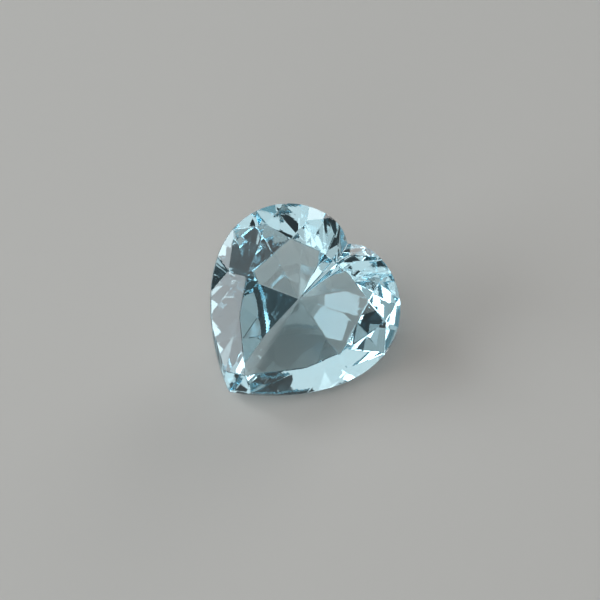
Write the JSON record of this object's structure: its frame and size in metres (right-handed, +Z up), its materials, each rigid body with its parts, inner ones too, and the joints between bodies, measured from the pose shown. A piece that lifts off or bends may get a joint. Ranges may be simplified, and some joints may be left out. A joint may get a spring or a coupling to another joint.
{
  "type": "heart-cut topaz gemstone",
  "caption": "Loose heart-shaped gemstone of clear pale blue topaz, with a flat table, a faceted crown, a thin girdle and a pointed pavilion, lying on a lower facet.",
  "frame": {"origin": "on the surface that the stone lies on, under the middle of its bounding box", "axes": "+Z up, out of the surface that the stone lies on; -Y towards the side that the tilted table faces, which is also the side it is seen from; +X to the right from there"},
  "size_m": [0.0068, 0.006, 0.0042],
  "materials": {
    "topaz": "clear pale blue crystal, polished facets"
  },
  "bodies": {
    "root": {"heart_cut_topaz": "topaz"}
  },
  "joints": []
}
